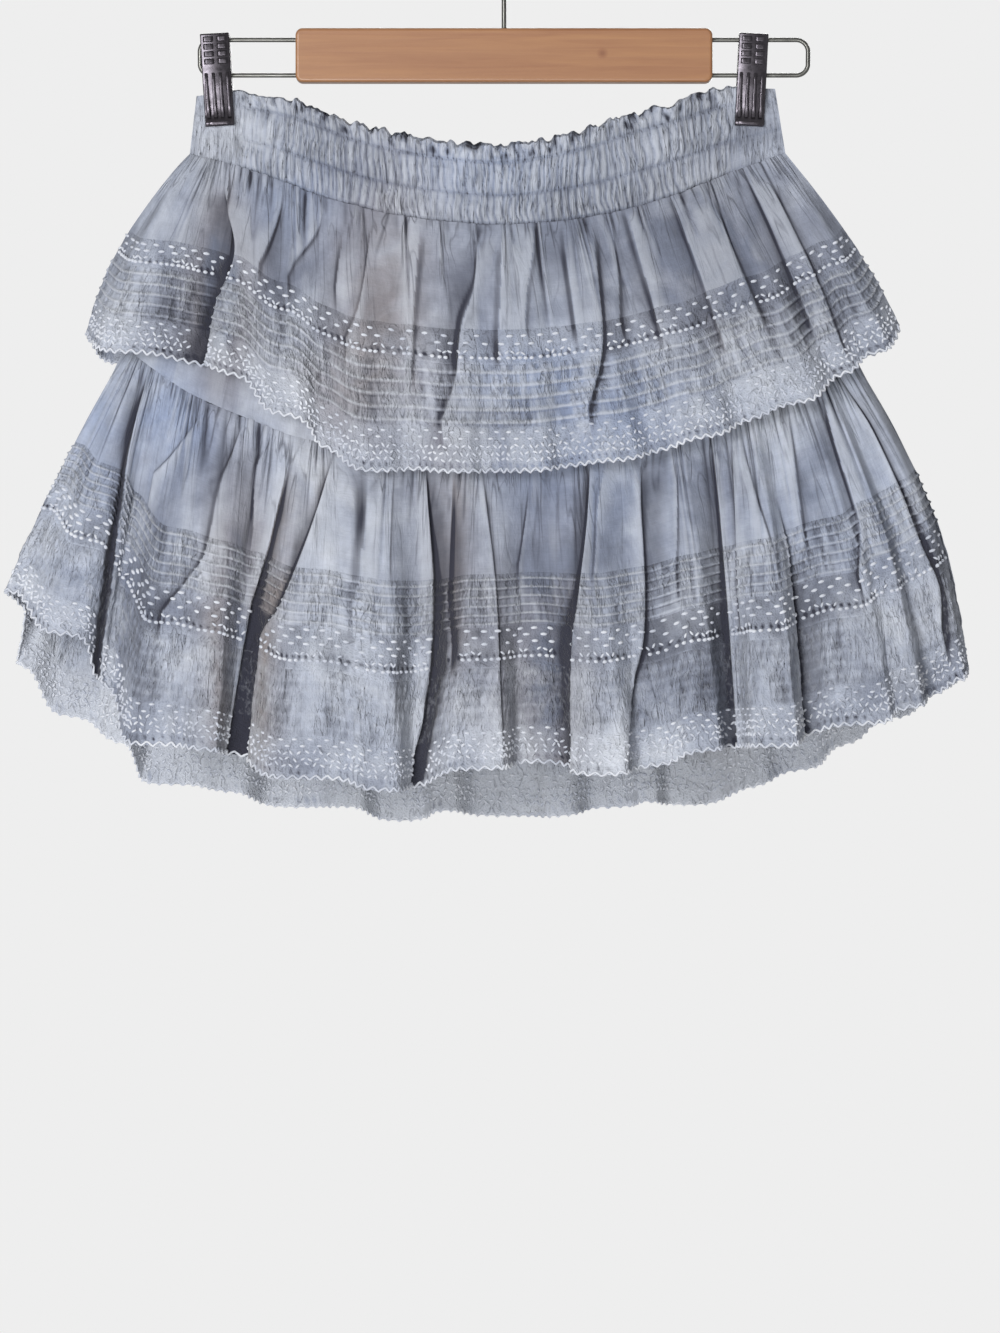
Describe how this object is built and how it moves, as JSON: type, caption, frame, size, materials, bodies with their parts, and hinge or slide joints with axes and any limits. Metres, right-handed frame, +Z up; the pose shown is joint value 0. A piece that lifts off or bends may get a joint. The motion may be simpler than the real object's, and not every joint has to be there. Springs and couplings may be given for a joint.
{
  "type": "ruffled mini skirt on a clip hanger",
  "caption": "Two-tier ruffled mini skirt with an elastic frill waistband, pintucks and lace bands, hung from a wooden clip hanger.",
  "frame": {"origin": "inner top of the hanger's hook, where a rod carries it", "axes": "+X to the right of someone who faces the skirt's front, -Y towards them, +Z up"},
  "size_m": [0.529, 0.1254, 0.5014],
  "materials": {
    "cotton": "crinkled mineral-washed cotton",
    "lace": "pale cotton lace with raised stitches",
    "wood": "satin varnished pale wood",
    "chrome": "polished plated steel"
  },
  "bodies": {
    "root": {"waistband_front": "cotton", "yoke_front": "cotton", "upper_gathered_front": "cotton", "upper_insertion_front": "lace", "upper_pintucks_front": "cotton", "upper_edging_front": "lace", "lower_gathered_front": "cotton", "lower_pintucks_front": "cotton", "lower_insertion_front": "lace", "lower_gauze_front": "cotton", "lower_edging_front": "lace", "waistband_back": "cotton", "yoke_back": "cotton", "upper_gathered_back": "cotton", "upper_insertion_back": "lace", "upper_pintucks_back": "cotton", "upper_edging_back": "lace", "lower_gathered_back": "cotton", "lower_pintucks_back": "cotton", "lower_insertion_back": "lace", "lower_gauze_back": "cotton", "lower_edging_back": "lace", "hanger_bar": "wood", "hanger_hook": "chrome", "hanger_wire_left": "chrome", "clip_left_front_jaw": "chrome", "clip_left_back_jaw": "chrome", "clip_left_spring": "chrome", "hanger_wire_right": "chrome", "clip_right_front_jaw": "chrome", "clip_right_back_jaw": "chrome", "clip_right_spring": "chrome"}
  },
  "joints": []
}
